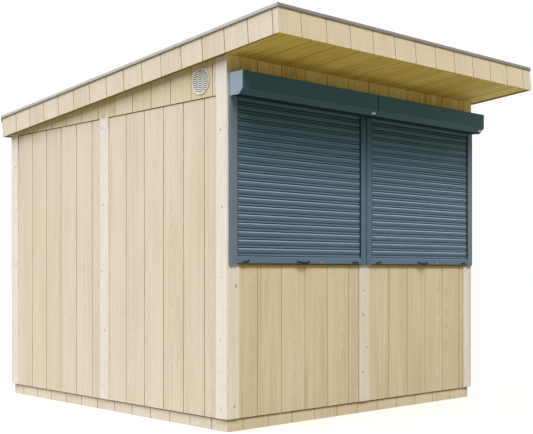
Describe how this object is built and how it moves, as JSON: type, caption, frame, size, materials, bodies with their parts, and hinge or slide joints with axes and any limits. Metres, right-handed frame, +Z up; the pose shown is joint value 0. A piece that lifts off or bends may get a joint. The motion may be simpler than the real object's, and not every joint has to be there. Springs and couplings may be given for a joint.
{
  "type": "wooden market hut",
  "caption": "Timber market hut with a lean-to roof, grooved wall panels and roller shutters closed over the front serving openings.",
  "frame": {"origin": "on the ground, at the middle of the four walls, under the middle floor bearer", "axes": "+Z up; +Y from the front with the roller shutters to the back; +X to the right as seen from the front"},
  "size_m": [2.481, 3.0698, 2.3733],
  "materials": {
    "cladding": "pale planed spruce, untreated",
    "planed_timber": "smooth planed, a few small knots",
    "fascia_timber": "pale planed spruce, untreated",
    "inner_timber": "sawn construction timber and sheet",
    "shutter_slats": "anthracite grey coating, satin",
    "shutter_frame": "anthracite grey powder coat, satin",
    "black_plastic": "moulded, satin",
    "lock_brass": "satin",
    "zinc_plate": "zinc plated",
    "vent_plastic": "off-white, satin",
    "roofing_felt": "mineral surfaced bitumen sheet, dull",
    "edge_trim": "mill finish, dull"
  },
  "bodies": {
    "root": {"plinth_front": "cladding", "plinth_back": "cladding", "plinth_sides": "cladding", "floor_bearers": "inner_timber", "floor_deck": "inner_timber", "corner_posts": "inner_timber", "corner_boards_front": "planed_timber", "corner_boards_back": "planed_timber", "corner_boards_sides": "planed_timber", "front_wall_panels": "cladding", "front_middle_post": "planed_timber", "front_head_panel": "cladding", "left_wall_panels": "cladding", "left_middle_post": "planed_timber", "left_gable_panel": "cladding", "right_wall_panels": "cladding", "right_middle_post": "planed_timber", "right_gable_panel": "cladding", "back_wall_panels": "cladding", "back_middle_post": "planed_timber", "vent_grille": "vent_plastic", "shutter_box_left": "shutter_frame", "shutter_box_right": "shutter_frame", "guide_rails_left": "shutter_frame", "guide_rails_right": "shutter_frame", "curtain_left": "shutter_slats", "curtain_right": "shutter_slats", "bottom_bar_left": "shutter_slats", "bottom_bar_right": "shutter_slats", "pull_handles": "black_plastic", "lock_cylinders": "lock_brass", "bar_stops": "black_plastic", "crank_plates": "zinc_plate", "roof_soffit": "cladding", "roof_rafters": "inner_timber", "roof_deck": "inner_timber", "roof_covering": "roofing_felt", "fascia_front": "fascia_timber", "fascia_back": "fascia_timber", "fascia_left": "fascia_timber", "fascia_right": "fascia_timber", "trim_front": "edge_trim", "trim_back": "edge_trim", "trim_left": "edge_trim", "trim_right": "edge_trim"}
  },
  "joints": []
}
